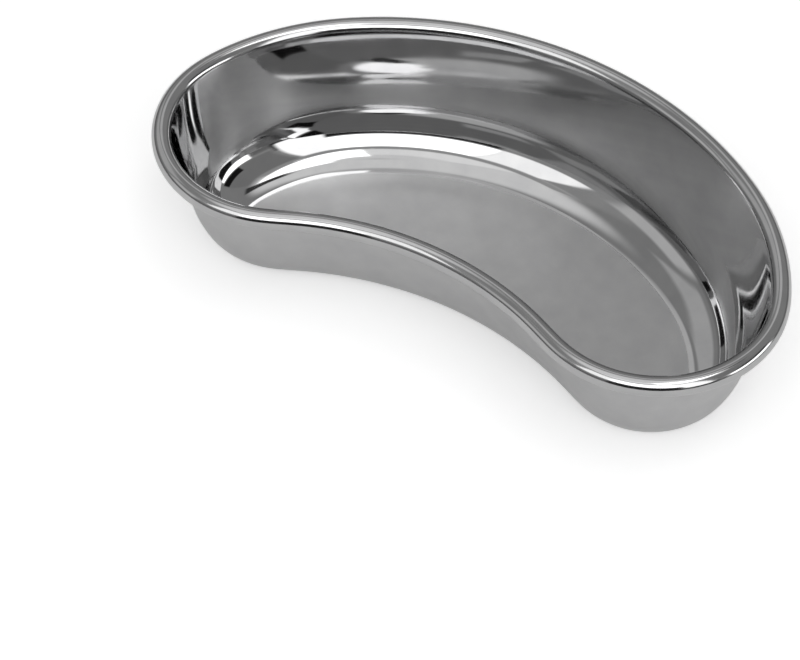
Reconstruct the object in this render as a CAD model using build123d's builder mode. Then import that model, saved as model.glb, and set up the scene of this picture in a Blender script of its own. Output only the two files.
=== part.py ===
from build123d import *
import os
from math import acos, asin, cos, degrees, radians, sin, sqrt, tan

# Kidney-shaped instrument tray, pressed from one stainless sheet, with its edge curled round a wire.
# +X runs along the length, +Y towards the bulging back, +Z up. The origin is on the bench,
# under the middle of the tray's overall length and width.

# ---------------------------------------------------------------- driving dimensions, mm
LENGTH = 250.0  # overall, over the rim
HEIGHT = 54.0  # overall, bench to top of rim
SHEET = 0.7  # thickness of the pressing
RIM_DIAMETER = 7.4  # outside diameter of the rolled rim
WIRE_CLEARANCE = 0.05  # all round, between the wire and the curl
CURL_GAP = 0.2  # between the sheet's curled-in edge and the outside of the wall
WIRE_BUTT_GAP = 0.4  # where the two ends of the wire meet, at the middle of the back

WALL_DRAFT = 11.5  # degrees, the wall leans outwards going up
COVE_RADIUS = 19.3  # inside radius where the floor turns up
EASE_RADIUS = 42.0  # wider inside radius that eases the cove into the straight wall
COVE_FINISH = 25.0  # degrees from upright, where the cove's two radii meet

# Plan shape, measured along the centre of the rim. Each half has four arcs that run into
# each other: back, shoulder, end and the hollow front.
SHOULDER_RADIUS = 97.0
END_RADIUS = 44.4
FRONT_RADIUS = 120.5
SHOULDER_START = 55.0  # degrees up from +X, where the back meets the shoulder
SHOULDER_FINISH = 22.0  # degrees up from +X, where the shoulder meets the end

# ---------------------------------------------------------------- worked out from them
RIM_RADIUS = RIM_DIAMETER / 2
CURL_INSIDE_RADIUS = RIM_RADIUS - SHEET
WIRE_RADIUS = CURL_INSIDE_RADIUS - WIRE_CLEARANCE
RIM_HEIGHT = HEIGHT - RIM_RADIUS  # centre of the rim above the bench

start, finish = radians(SHOULDER_START), radians(SHOULDER_FINISH)
END_X = LENGTH / 2 - RIM_RADIUS - END_RADIUS
BACK_RADIUS = SHOULDER_RADIUS + (END_X - (SHOULDER_RADIUS - END_RADIUS) * cos(finish)) / cos(start)

# centres of the four arcs, first with the back's centre at the origin
shoulder_x = (BACK_RADIUS - SHOULDER_RADIUS) * cos(start)
shoulder_y = (BACK_RADIUS - SHOULDER_RADIUS) * sin(start)
end_y = shoulder_y + (SHOULDER_RADIUS - END_RADIUS) * sin(finish)
front_y = end_y - sqrt((END_RADIUS + FRONT_RADIUS) ** 2 - END_X**2)
FRONT_START = degrees(acos(END_X / (END_RADIUS + FRONT_RADIUS)))  # up from +X
MIDDLE_Y = (BACK_RADIUS + end_y - END_RADIUS) / 2  # half way between back and the two front lobes

BACK_CENTRE = (0, -MIDDLE_Y)
SHOULDER_CENTRE = (shoulder_x, shoulder_y - MIDDLE_Y)
END_CENTRE = (END_X, end_y - MIDDLE_Y)
FRONT_CENTRE = (0, front_y - MIDDLE_Y)

# (centre, radius, angle where it starts, angle where it stops, +1 bulging or -1 hollow)
HALF_PLAN = [
    (BACK_CENTRE, BACK_RADIUS, 90, SHOULDER_START, 1),
    (SHOULDER_CENTRE, SHOULDER_RADIUS, SHOULDER_START, SHOULDER_FINISH, 1),
    (END_CENTRE, END_RADIUS, SHOULDER_FINISH, FRONT_START - 180, 1),
    (FRONT_CENTRE, FRONT_RADIUS, FRONT_START, 90, -1),
]

# The wall's cross-section. Its first coordinate is the distance outwards from the rim's centre,
# its second the height.
draft, leave = radians(WALL_DRAFT), radians(COVE_FINISH)
EASE_RISE = EASE_RADIUS * (sin(leave) - sin(draft))
WALL_RISE = RIM_HEIGHT + RIM_RADIUS * sin(draft) - SHEET - COVE_RADIUS * (1 - sin(leave)) - EASE_RISE
CURL_INSET, WALL_INSET = RIM_RADIUS * cos(draft), WALL_RISE * tan(draft)
COVE_INSET = EASE_RADIUS * (cos(draft) - cos(leave)) + COVE_RADIUS * cos(leave)
FLOOR_INSET = CURL_INSET + WALL_INSET + COVE_INSET
CURL_START = 180 - WALL_DRAFT
# the curl stops where its outside would come within CURL_GAP of the wall
CURL_STOP = CURL_START + degrees(acos((CURL_INSIDE_RADIUS - CURL_GAP) / RIM_RADIUS)) - 360


def section_plane(centre, radius, angle, side):
    """Upright plane across the rim, its x pointing out of the tray and its y up."""
    out_x, out_y = side * cos(radians(angle)), side * sin(radians(angle))
    foot = (centre[0] + side * radius * out_x, centre[1] + side * radius * out_y, 0)
    return Plane(origin=foot, x_dir=(out_x, out_y, 0), z_dir=(out_y, -out_x, 0))


def turning_axis(centre, begin, stop):
    """Vertical axis through an arc's centre, pointing so that a positive turn goes to stop."""
    return Axis((centre[0], centre[1], 0), (0, 0, 1 if stop > begin else -1))


def cove_arcs(cove_centre, ease_centre, outwards):
    """The cove's two arcs, on the inside face or as far outwards as the sheet is thick."""
    CenterArc(cove_centre, COVE_RADIUS + outwards, -90, 90 - COVE_FINISH)
    CenterArc(ease_centre, EASE_RADIUS + outwards, -COVE_FINISH, COVE_FINISH - WALL_DRAFT)


def sheet_profile():
    """Closed line round the sheet: floor edge, cove, wall and the curl round the wire."""
    rim_centre = Vector(0, RIM_HEIGHT)
    to_cove = Vector(-cos(leave), sin(leave))
    to_wall = Vector(-cos(draft), sin(draft))
    cove_centre = Vector(-FLOOR_INSET, SHEET + COVE_RADIUS)
    ease_centre = cove_centre + to_cove * (EASE_RADIUS - COVE_RADIUS)
    curl = CURL_STOP - CURL_START
    Line((-FLOOR_INSET, 0), (-FLOOR_INSET, SHEET))
    cove_arcs(cove_centre, ease_centre, 0)
    Line(ease_centre - to_wall * EASE_RADIUS, rim_centre + to_wall * RIM_RADIUS)
    outer = CenterArc(rim_centre, RIM_RADIUS, CURL_START, curl)
    inner = CenterArc(rim_centre, CURL_INSIDE_RADIUS, CURL_START, curl)
    Line(outer @ 1, inner @ 1)
    Line(rim_centre + to_wall * CURL_INSIDE_RADIUS, ease_centre - to_wall * (EASE_RADIUS + SHEET))
    cove_arcs(cove_centre, ease_centre, SHEET)


# ---------------------------------------------------------------- dish shell: the pressing
with BuildPart() as dish_shell:
    for centre, radius, begin, stop, side in HALF_PLAN:
        with BuildSketch(section_plane(centre, radius, begin, side)):
            with BuildLine():
                sheet_profile()
            make_face()
        revolve(axis=turning_axis(centre, begin, stop), revolution_arc=abs(stop - begin))
    mirror(about=Plane.YZ)
    with BuildSketch(Plane.XY):
        with BuildLine():
            for centre, radius, begin, stop, side in HALF_PLAN:
                CenterArc(centre, radius - side * FLOOR_INSET, begin, stop - begin)
            mirror(about=Plane.YZ)
        make_face()
    extrude(amount=SHEET)

# ---------------------------------------------------------------- rim wire: stiffens the curl
BUTT_ANGLE = degrees(asin(WIRE_BUTT_GAP / 2 / BACK_RADIUS))
with BuildPart() as rim_wire:
    for centre, radius, begin, stop, side in HALF_PLAN:
        first = begin - BUTT_ANGLE if centre == BACK_CENTRE else begin
        with BuildSketch(section_plane(centre, radius, first, side)):
            with Locations((0, RIM_HEIGHT)):
                Circle(WIRE_RADIUS)
        revolve(axis=turning_axis(centre, first, stop), revolution_arc=abs(stop - first))
    mirror(about=Plane.YZ)

dish_shell.part.label = "dish_shell"
rim_wire.part.label = "rim_wire"

os.makedirs("parts", exist_ok=True)
export_step(dish_shell.part, "parts/dish_shell.step")
export_step(rim_wire.part, "parts/rim_wire.step")
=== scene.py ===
import math

import bpy
import numpy as np
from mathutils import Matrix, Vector


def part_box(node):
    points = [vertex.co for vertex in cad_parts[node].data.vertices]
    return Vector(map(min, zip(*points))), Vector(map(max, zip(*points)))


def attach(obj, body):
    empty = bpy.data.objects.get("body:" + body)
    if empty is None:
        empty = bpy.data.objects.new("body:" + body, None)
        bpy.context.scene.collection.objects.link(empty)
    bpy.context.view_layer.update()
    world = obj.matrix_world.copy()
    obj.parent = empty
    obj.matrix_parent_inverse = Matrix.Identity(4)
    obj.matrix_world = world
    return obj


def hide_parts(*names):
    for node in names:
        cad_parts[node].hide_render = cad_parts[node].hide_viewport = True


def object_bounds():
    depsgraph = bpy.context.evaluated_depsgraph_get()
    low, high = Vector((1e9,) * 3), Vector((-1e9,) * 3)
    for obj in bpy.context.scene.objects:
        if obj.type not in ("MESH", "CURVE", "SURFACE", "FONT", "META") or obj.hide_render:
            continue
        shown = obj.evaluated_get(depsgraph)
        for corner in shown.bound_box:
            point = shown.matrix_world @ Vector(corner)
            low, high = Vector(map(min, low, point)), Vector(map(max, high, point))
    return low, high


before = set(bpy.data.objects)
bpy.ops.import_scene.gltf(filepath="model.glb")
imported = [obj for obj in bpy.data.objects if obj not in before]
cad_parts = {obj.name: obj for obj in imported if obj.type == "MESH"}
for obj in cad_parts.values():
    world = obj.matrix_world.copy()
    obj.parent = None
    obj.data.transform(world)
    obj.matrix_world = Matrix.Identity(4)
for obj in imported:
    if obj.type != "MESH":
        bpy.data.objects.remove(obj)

CAD_LOW, CAD_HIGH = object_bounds()
SHELL_LOW, SHELL_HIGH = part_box("dish_shell")
MM = 0.001

# ---------------------------------------------------------------- the tray's own dimensions
LENGTH = SHELL_HIGH.x - SHELL_LOW.x
HEIGHT = SHELL_HIGH.z - SHELL_LOW.z
SHEET = 0.7 * MM
RIM_RADIUS = 3.7 * MM
CURL_GAP = 0.2 * MM
COVE_RADIUS = 19.3 * MM
EASE_RADIUS = 42.0 * MM  # the wider arc between the cove and the straight wall
COVE_FINISH = math.radians(25.0)  # from upright, where the two arcs meet
WALL_DRAFT = math.radians(11.5)

# plan shape along the centre of the rim: back, shoulder, end and hollow front arcs on each half
SHOULDER_RADIUS = 97.0 * MM
END_RADIUS = 44.4 * MM
FRONT_RADIUS = 120.5 * MM
SHOULDER_START = math.radians(55.0)
SHOULDER_FINISH = math.radians(22.0)
PLAN_SMOOTHING = 5.0 * MM  # a press tool's arcs run into each other this gently

# ---------------------------------------------------------------- mesh density
AROUND = 560
ARC_POINTS = 400  # on each plan arc, before the line is evened out
COVE_STEPS = 36
EASE_STEPS = 12
WALL_STEPS = 10
CURL_STEPS = 40
FLOOR_RINGS = (0.4 * MM, 1.2 * MM, 3.0 * MM)  # rings just inside the floor's edge

# ---------------------------------------------------------------- finishes
WALL_DARK, WALL_LIGHT = (0.55, 0.55, 0.555, 1), (0.60, 0.60, 0.60, 1)
WIRE_DARK, WIRE_LIGHT = (0.40, 0.40, 0.41, 1), (0.50, 0.50, 0.50, 1)
WALL_GLOSS, WALL_HAZE = 0.03, 0.07  # roughness of the polished walls, clean and smeared
RIM_HAZE = 0.07  # more roughness round the rim
RIM_FADE = 1.0 * MM  # width over which it comes in
SATIN_FINE, SATIN_COARSE = 0.42, 0.48  # roughness of the flat floor
SATIN_EDGE_LOW, SATIN_EDGE_HIGH = 0.01 * MM, 0.06 * MM  # heights over the floor where the satin ends
SCRATCH_HAZE = 0.08  # more roughness in a scratch
WIRE_FINE, WIRE_COARSE = 0.34, 0.5  # roughness of the drawn wire

# widths across the features, how many times longer they run, and their depths
WALL_STAIN, WIRE_STAIN = 9 * MM, 4 * MM
SMEAR = 14 * MM
WAVE, WAVE_DEPTH = 26 * MM, 0.004 * MM
BUFFING, BUFFING_RUN, BUFFING_DEPTH = 0.25 * MM, 120, 0.0004 * MM
SCRATCH, SCRATCH_DEPTH = 0.3 * MM, 0.0015 * MM
SCRATCH_RUNS, SCRATCH_TURNS = (60, 45), (0.35, -0.6)  # two sets, turned in radians from the buffing
GRAIN, GRAIN_DEPTH = 0.45 * MM, 0.0012 * MM
DIE_LINE, DIE_LINE_DEPTH = 0.5 * MM, 0.01 * MM

# ---------------------------------------------------------------- studio light
ROOM_LIGHT = 0.35
BACKDROP = 1.0  # what the camera sees behind the floor
FLOOR_GREY, FLOOR_ROUGHNESS = 0.86, 0.9
FLOOR_REACH = 40  # tray lengths from the middle to the floor's edge
FLOOR_GLOW = 0.4  # added where the camera sees the floor, so that it stays white
# Soft boxes and gaps: middle bearing (0 = front, + = right of the view) and half width, lowest and
# highest elevation, softness of the edges, all in degrees, then the brightness. Later ones lie on top.
STUDIO_PATCHES = (
    (180, 180, 62, 91, 10, 0.9),  # ceiling
    (0, 180, -91, 20, 8, 0.18),  # dark surroundings, low all round
    (5, 40, -10, 30, 3, 0.02),  # black in front
    (180, 95, 18, 64, 12, 0.28),  # grey wall behind
    (180, 14, 43, 55, 5, 0.6),  # window in it
    (-86, 14, 17, 36, 6, 0.6),  # low light on the left
    (-132, 26, 26, 50, 6, 0.5),  # pale panel beyond it
    (-6, 30, 32, 60, 3, 2.8),  # big soft box in front
    (-50, 14, 31, 60, 3, 1.5),  # its dimmer left part
    (32, 11, 15, 60, 3, 1.8),  # its dimmer right part
    (75, 19, 8, 22, 2, 2.8),  # low light on the right
    (0, 85, 61, 66.5, 2, 0.4),  # gap above the soft box
    (-5, 60, 67, 80, 4, 1.1),  # front edge of the ceiling light
    (60, 52, 67, 83, 3, 2.8),  # strong ceiling light on the right
    (117, 10, 60, 75, 4, 0.05),  # dark gap at its end
    (72, 26, 24, 61, 4, 0.24),  # dark flag on the right
    (82, 15, 24, 35, 2, 0.01),  # its black foot
)

# ---------------------------------------------------------------- view
VIEW_AZIMUTH = math.radians(30.5)
VIEW_ELEVATION = math.radians(49.0)
VIEW_DISTANCE = 1.2325
VIEW_LENS = 148.0  # mm
AIM_LEFT = 33.7 * MM  # the camera aims this far left of the tray's middle
AIM_DOWN = 24.2 * MM


def plan_line():
    """Closed line along the rim's centre: even points and their outward directions."""
    end_x = LENGTH / 2 - RIM_RADIUS - END_RADIUS
    c1, s1 = math.cos(SHOULDER_START), math.sin(SHOULDER_START)
    c2, s2 = math.cos(SHOULDER_FINISH), math.sin(SHOULDER_FINISH)
    back_radius = SHOULDER_RADIUS + (end_x - (SHOULDER_RADIUS - END_RADIUS) * c2) / c1
    shoulder = ((back_radius - SHOULDER_RADIUS) * c1, (back_radius - SHOULDER_RADIUS) * s1)
    end = (end_x, shoulder[1] + (SHOULDER_RADIUS - END_RADIUS) * s2)
    reach = END_RADIUS + FRONT_RADIUS
    front = (0.0, end[1] - math.sqrt(reach**2 - end_x**2))
    front_start = math.acos(end_x / reach)
    arcs = [
        ((0.0, 0.0), back_radius, math.pi / 2, SHOULDER_START),
        (shoulder, SHOULDER_RADIUS, SHOULDER_START, SHOULDER_FINISH),
        (end, END_RADIUS, SHOULDER_FINISH, front_start - math.pi),
        (front, FRONT_RADIUS, front_start, math.pi / 2),
    ]
    half = []
    for (cx, cy), radius, begin, stop in arcs:
        angles = np.linspace(begin, stop, ARC_POINTS)
        half.append(np.stack([cx + radius * np.cos(angles), cy + radius * np.sin(angles)], 1))
    half = np.vstack(half)
    line = np.vstack([half, (half * [-1, 1])[::-1]])
    line = evenly(line, AROUND)
    line = smoothed(line, PLAN_SMOOTHING)
    line = evenly(line, AROUND)
    # back to the CAD outline's length and width, and centred on it
    low, high = line.min(0), line.max(0)
    want = np.array([SHELL_HIGH.x - SHELL_LOW.x, SHELL_HIGH.y - SHELL_LOW.y]) - 2 * RIM_RADIUS
    middle = np.array([SHELL_HIGH.x + SHELL_LOW.x, SHELL_HIGH.y + SHELL_LOW.y]) / 2
    line = (line - (low + high) / 2) * want / (high - low) + middle
    along = np.roll(line, -1, 0) - np.roll(line, 1, 0)
    along /= np.linalg.norm(along, axis=1)[:, None]
    outward = np.stack([-along[:, 1], along[:, 0]], 1)
    return line, outward


def evenly(line, count):
    """The same closed line with count evenly spaced points, starting at the same place."""
    closed = np.vstack([line, line[:1]])
    run = np.concatenate([[0], np.cumsum(np.linalg.norm(np.diff(closed, axis=0), axis=1))])
    at = np.linspace(0, run[-1], count, endpoint=False)
    return np.stack([np.interp(at, run, closed[:, k]) for k in range(2)], 1)


def smoothed(line, width):
    """The closed line with its bends eased over about that width."""
    step = np.linalg.norm(line[1] - line[0])
    frequency = np.fft.fftfreq(len(line))
    keep = np.exp(-2 * (math.pi * frequency * width / step) ** 2)
    return np.stack([np.fft.ifft(np.fft.fft(line[:, k]) * keep).real for k in range(2)], 1)


def arc(centre, radius, begin, stop, steps):
    """Points along an arc of the wall's section, both ends included."""
    angles = np.linspace(begin, stop, steps + 1)
    return [(centre[0] + radius * math.cos(a), centre[1] + radius * math.sin(a)) for a in angles]


def wall_section():
    """The sheet's closed section from the floor's edge up the inside, round the curl and down the
    outside, as (distance outwards from the rim's centre, height)."""
    rim = (0.0, HEIGHT - RIM_RADIUS)
    s, c = math.sin(WALL_DRAFT), math.cos(WALL_DRAFT)
    leave_s, leave_c = math.sin(COVE_FINISH), math.cos(COVE_FINISH)
    foot_height = SHEET + COVE_RADIUS * (1 - leave_s) + EASE_RADIUS * (leave_s - s)
    lean = (rim[1] + RIM_RADIUS * s - foot_height) * s / c
    inset = RIM_RADIUS * c + lean + EASE_RADIUS * (c - leave_c) + COVE_RADIUS * leave_c
    cove = (-inset, SHEET + COVE_RADIUS)
    step = EASE_RADIUS - COVE_RADIUS
    ease = (cove[0] - step * leave_c, cove[1] + step * leave_s)
    inside_curl = RIM_RADIUS - SHEET
    begin = math.pi - WALL_DRAFT
    stop = begin + math.acos((inside_curl - CURL_GAP) / RIM_RADIUS) - 2 * math.pi
    section = arc(cove, COVE_RADIUS, -math.pi / 2, -COVE_FINISH, COVE_STEPS)
    section += arc(ease, EASE_RADIUS, -COVE_FINISH, -WALL_DRAFT, EASE_STEPS)[1:]
    section += between(section[-1], (-RIM_RADIUS * c, rim[1] + RIM_RADIUS * s), WALL_STEPS)
    section += arc(rim, RIM_RADIUS, begin, stop, CURL_STEPS)
    section += arc(rim, inside_curl, stop, begin, CURL_STEPS // 2)
    outside_foot = (ease[0] + (EASE_RADIUS + SHEET) * c, ease[1] - (EASE_RADIUS + SHEET) * s)
    section += between(section[-1], outside_foot, WALL_STEPS)
    section += arc(ease, EASE_RADIUS + SHEET, -WALL_DRAFT, -COVE_FINISH, EASE_STEPS)
    section += arc(cove, COVE_RADIUS + SHEET, -COVE_FINISH, -math.pi / 2, COVE_STEPS)[1:]
    return section


def inside_length():
    """Distance along the section from the mesh's innermost floor ring up to the start of the rim."""
    section = wall_section()[: COVE_STEPS + EASE_STEPS + WALL_STEPS + 1]
    return FLOOR_RINGS[-1] + sum(math.dist(a, b) for a, b in zip(section, section[1:]))


def between(a, b, steps):
    """Points strictly between two section points."""
    return [(a[0] + (b[0] - a[0]) * k / steps, a[1] + (b[1] - a[1]) * k / steps) for k in range(1, steps)]


def shell_mesh():
    """The whole pressing as one closed mesh, with a map of distances along and across the sheet."""
    line, outward = plan_line()
    section = wall_section()
    inside = [(section[0][0] - d, section[0][1]) for d in reversed(FLOOR_RINGS)]
    outside = [(section[-1][0] - d, section[-1][1]) for d in FLOOR_RINGS]
    section = inside + section + outside
    rows = len(section)
    verts = []
    for out, height in section:
        ring = line + outward * out
        verts += [(x, y, height) for x, y in ring]
    faces = []
    for r in range(rows - 1):
        for k in range(AROUND):
            n = (k + 1) % AROUND
            faces.append((r * AROUND + k, (r + 1) * AROUND + k, (r + 1) * AROUND + n, r * AROUND + n))
    faces.append(tuple(range(AROUND)))
    faces.append(tuple(reversed(range((rows - 1) * AROUND, rows * AROUND))))
    mesh = bpy.data.meshes.new("polished_shell")
    mesh.from_pydata(verts, [], faces)
    lay = mesh.uv_layers.new(name="lay")
    across = np.concatenate([[0], np.cumsum(np.linalg.norm(np.diff(np.array(section), axis=0), axis=1))])
    pace = float(np.linalg.norm(np.diff(line, axis=0), axis=1).mean())
    for face in mesh.polygons:
        flat = len(face.vertices) > 4
        last = AROUND - 1 in [v % AROUND for v in face.vertices]
        for loop in face.loop_indices:
            v = mesh.loops[loop].vertex_index
            row, k = divmod(v, AROUND)
            if flat:
                lay.data[loop].uv = (verts[v][0], verts[v][1])
            else:
                lay.data[loop].uv = (pace * (AROUND if last and k == 0 else k), across[row])
    for face in mesh.polygons:
        face.use_smooth = True
    mesh.validate()
    return mesh


class Nodes:
    """Short ways to add and link shader nodes in one tree."""

    def __init__(self, tree):
        self.tree = tree

    def add(self, kind, **settings):
        node = self.tree.nodes.new("ShaderNode" + kind)
        for name, value in settings.items():
            setattr(node, name, value)
        return node

    def feed(self, socket, value):
        """Links an output to the socket, or sets the socket to a plain number."""
        if isinstance(value, bpy.types.NodeSocket):
            self.tree.links.new(value, socket)
        else:
            socket.default_value = value

    def math(self, operation, *values):
        node = self.add("Math", operation=operation)
        for socket, value in zip(node.inputs, values):
            self.feed(socket, value)
        return node.outputs[0]

    def ramp(self, value, low, high, at_low=0.0, at_high=1.0):
        """Smooth step: at_low below low, at_high above high."""
        node = self.add("MapRange", interpolation_type="SMOOTHSTEP")
        for socket, number in zip(node.inputs, (value, low, high, at_low, at_high)):
            self.feed(socket, number)
        return node.outputs[0]

    def between(self, value, low, high, soft):
        """1 between low and high, with edges as wide as soft, else 0."""
        rise = self.ramp(value, low - soft / 2, low + soft / 2)
        fall = self.ramp(value, high - soft / 2, high + soft / 2, 1.0, 0.0)
        return self.math("MULTIPLY", rise, fall)

    def mix(self, factor, a, b):
        node = self.add("Mix", data_type="FLOAT")
        for socket, value in zip(node.inputs, (factor, None, a, b)):
            if value is not None:
                self.feed(socket, value)
        return node.outputs[0]

    def noise(self, vector, size, detail=2.0, stretch=(1, 1, 1), turn=0.0, **settings):
        """Noise with features about size metres across, stretched by the given factors."""
        mapping = self.add("Mapping")
        self.feed(mapping.inputs["Vector"], vector)
        mapping.inputs["Rotation"].default_value = (0, 0, turn)
        mapping.inputs["Scale"].default_value = tuple(1 / (size * s) for s in stretch)
        node = self.add("TexNoise", **settings)
        self.feed(node.inputs["Vector"], mapping.outputs[0])
        node.inputs["Scale"].default_value = 1.0
        node.inputs["Detail"].default_value = detail
        return node.outputs["Fac"]

    def bump(self, height, depth, below=None):
        """Bump of the given depth in metres, over an earlier bump."""
        node = self.add("Bump")
        self.feed(node.inputs["Height"], height)
        node.inputs["Distance"].default_value = depth
        node.inputs["Strength"].default_value = 1.0
        if below is not None:
            self.feed(node.inputs["Normal"], below)
        return node.outputs["Normal"]


def metal(name):
    """A new all-metal material: its nodes helper and its shader."""
    material = bpy.data.materials.new(name)
    material.use_nodes = True
    nodes = Nodes(material.node_tree)
    shader = material.node_tree.nodes["Principled BSDF"]
    shader.inputs["Metallic"].default_value = 1.0
    return material, nodes, shader


def steel_colour(nodes, vector, size, dark, light):
    """Neutral steel, mottled between two greys by a soft stain."""
    mottle = nodes.noise(vector, size, detail=4.0)
    ramp = nodes.add("ValToRGB")
    nodes.feed(ramp.inputs["Fac"], mottle)
    ramp.color_ramp.elements[0].position, ramp.color_ramp.elements[0].color = 0.3, dark
    ramp.color_ramp.elements[1].position, ramp.color_ramp.elements[1].color = 0.7, light
    return ramp.outputs["Color"]


def polished_steel():
    """Mirror-polished stainless: fine buffing lines round the walls, faint scratches and smears, a
    slightly duller rim, and a satin floor where the press tool leaves its grain."""
    material, nodes, shader = metal("polished_steel")
    lay = nodes.add("UVMap", uv_map="lay").outputs["UV"]
    place = nodes.add("TexCoord").outputs["Object"]
    height = nodes.add("SeparateXYZ")
    nodes.feed(height.inputs[0], place)
    satin = nodes.ramp(height.outputs["Z"], SHEET + SATIN_EDGE_LOW, SHEET + SATIN_EDGE_HIGH, 1.0, 0.0)

    buffing = nodes.noise(lay, BUFFING, detail=3.0, stretch=(BUFFING_RUN, 1, 1))
    smear = nodes.noise(place, SMEAR, detail=5.0)
    scratch_a = nodes.noise(lay, SCRATCH, stretch=(SCRATCH_RUNS[0], 1, 1), turn=SCRATCH_TURNS[0])
    scratch_b = nodes.noise(lay, SCRATCH, stretch=(SCRATCH_RUNS[1], 1, 1), turn=SCRATCH_TURNS[1])
    # only the peaks of the noise are scratches
    scratches = nodes.math("MAXIMUM", nodes.ramp(scratch_a, 0.72, 0.78), nodes.ramp(scratch_b, 0.73, 0.79))
    grain = nodes.noise(place, GRAIN, detail=3.0)
    waviness = nodes.noise(place, WAVE, detail=1.0)

    nodes.feed(shader.inputs["Base Color"], steel_colour(nodes, place, WALL_STAIN, WALL_DARK, WALL_LIGHT))
    wall = nodes.ramp(smear, 0.35, 0.7, WALL_GLOSS, WALL_HAZE)
    wall = nodes.math("ADD", wall, nodes.math("MULTIPLY", scratches, SCRATCH_HAZE))
    flat = nodes.ramp(grain, 0.25, 0.75, SATIN_FINE, SATIN_COARSE)
    across_section = nodes.add("SeparateXYZ")
    nodes.feed(across_section.inputs[0], lay)
    rim_start = inside_length()
    rim_finish = rim_start + 2 * math.pi * RIM_RADIUS
    rim = nodes.between(across_section.outputs["Y"], rim_start, rim_finish, RIM_FADE)
    wall = nodes.math("ADD", wall, nodes.math("MULTIPLY", rim, RIM_HAZE))
    nodes.feed(shader.inputs["Roughness"], nodes.mix(satin, wall, flat))

    normal = nodes.bump(waviness, WAVE_DEPTH)
    normal = nodes.bump(buffing, BUFFING_DEPTH, normal)
    normal = nodes.bump(scratches, SCRATCH_DEPTH, normal)
    normal = nodes.bump(nodes.math("MULTIPLY", grain, satin), GRAIN_DEPTH, normal)
    nodes.feed(shader.inputs["Normal"], normal)
    return material


def wire_steel():
    """Drawn wire: duller, with die lines along it."""
    material, nodes, shader = metal("wire_steel")
    place = nodes.add("TexCoord").outputs["Object"]
    lines = nodes.noise(place, DIE_LINE, detail=3.0, stretch=(8, 8, 0.6))
    nodes.feed(shader.inputs["Base Color"], steel_colour(nodes, place, WIRE_STAIN, WIRE_DARK, WIRE_LIGHT))
    nodes.feed(shader.inputs["Roughness"], nodes.ramp(lines, 0.3, 0.7, WIRE_FINE, WIRE_COARSE))
    nodes.feed(shader.inputs["Normal"], nodes.bump(lines, DIE_LINE_DEPTH))
    return material


def floor():
    """Pale floor, level with the tray's underside."""
    mesh = bpy.data.meshes.new("floor")
    reach = FLOOR_REACH * LENGTH
    corners = [(-reach, -reach, 0), (reach, -reach, 0), (reach, reach, 0), (-reach, reach, 0)]
    mesh.from_pydata(corners, [], [(0, 1, 2, 3)])
    obj = bpy.data.objects.new("floor", mesh)
    bpy.context.scene.collection.objects.link(obj)
    material = bpy.data.materials.new("pale_floor")
    material.use_nodes = True
    nodes = Nodes(material.node_tree)
    shader = material.node_tree.nodes["Principled BSDF"]
    shader.inputs["Base Color"].default_value = (FLOOR_GREY, FLOOR_GREY, FLOOR_GREY, 1)
    shader.inputs["Roughness"].default_value = FLOOR_ROUGHNESS
    shader.inputs["Emission Color"].default_value = (1, 1, 1, 1)
    seen = nodes.add("LightPath").outputs["Is Camera Ray"]
    nodes.feed(shader.inputs["Emission Strength"], nodes.math("MULTIPLY", seen, FLOOR_GLOW))
    mesh.materials.append(material)
    obj.location.z = CAD_LOW.z


def studio():
    """Soft boxes and dark gaps all round the tray, which only its reflections see, in a pale room."""
    world = bpy.data.worlds.new("studio")
    bpy.context.scene.world = world
    world.use_nodes = True
    nodes = Nodes(world.node_tree)
    background = world.node_tree.nodes["Background"]
    to_front = (math.sin(VIEW_AZIMUTH), -math.cos(VIEW_AZIMUTH), 0)
    to_right = (math.cos(VIEW_AZIMUTH), math.sin(VIEW_AZIMUTH), 0)
    direction = nodes.add("TexCoord").outputs["Generated"]

    def along(axis):
        dot = nodes.add("VectorMath", operation="DOT_PRODUCT")
        nodes.feed(dot.inputs[0], direction)
        dot.inputs[1].default_value = axis
        return dot.outputs["Value"]

    bearing = nodes.math("DEGREES", nodes.math("ARCTAN2", along(to_right), along(to_front)))
    elevation = nodes.math("DEGREES", nodes.math("ARCSINE", along((0, 0, 1))))
    light = ROOM_LIGHT
    for middle, half_width, low, high, soft, brightness in STUDIO_PATCHES:
        turned = nodes.math("WRAP", nodes.math("SUBTRACT", bearing, middle), 180.0, -180.0)
        across = 1.0 if half_width >= 180 else nodes.between(turned, -half_width, half_width, soft)
        up = nodes.between(elevation, low, high, soft)
        light = nodes.mix(nodes.math("MULTIPLY", across, up), light, brightness)
    seen = nodes.mix(nodes.add("LightPath").outputs["Is Camera Ray"], light, BACKDROP)
    nodes.feed(background.inputs["Strength"], seen)
    background.inputs["Color"].default_value = (1, 1, 1, 1)


def camera():
    """The camera, aimed so that the tray stands right of and above the middle of the frame."""
    a, e = VIEW_AZIMUTH, VIEW_ELEVATION
    back = Vector((math.sin(a) * math.cos(e), -math.cos(a) * math.cos(e), math.sin(e)))
    right = Vector((math.cos(a), math.sin(a), 0))
    up = back.cross(right)
    data = bpy.data.cameras.new("camera")
    data.lens = VIEW_LENS
    obj = bpy.data.objects.new("camera", data)
    obj.location = Vector((0, 0, 0)) - right * AIM_LEFT - up * AIM_DOWN + back * VIEW_DISTANCE
    obj.rotation_mode = "QUATERNION"
    obj.rotation_quaternion = (-back).to_track_quat("-Z", "Y")
    bpy.context.scene.collection.objects.link(obj)
    bpy.context.scene.camera = obj


shell = bpy.data.objects.new("polished_shell", shell_mesh())
bpy.context.scene.collection.objects.link(shell)
shell.data.materials.append(polished_steel())
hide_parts("dish_shell")
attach(shell, "root")

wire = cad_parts["rim_wire"]
wire_material = wire_steel()
for material_slot in wire.material_slots:
    material_slot.material = wire_material

floor()
studio()
camera()
bpy.context.scene.view_settings.view_transform = "Standard"
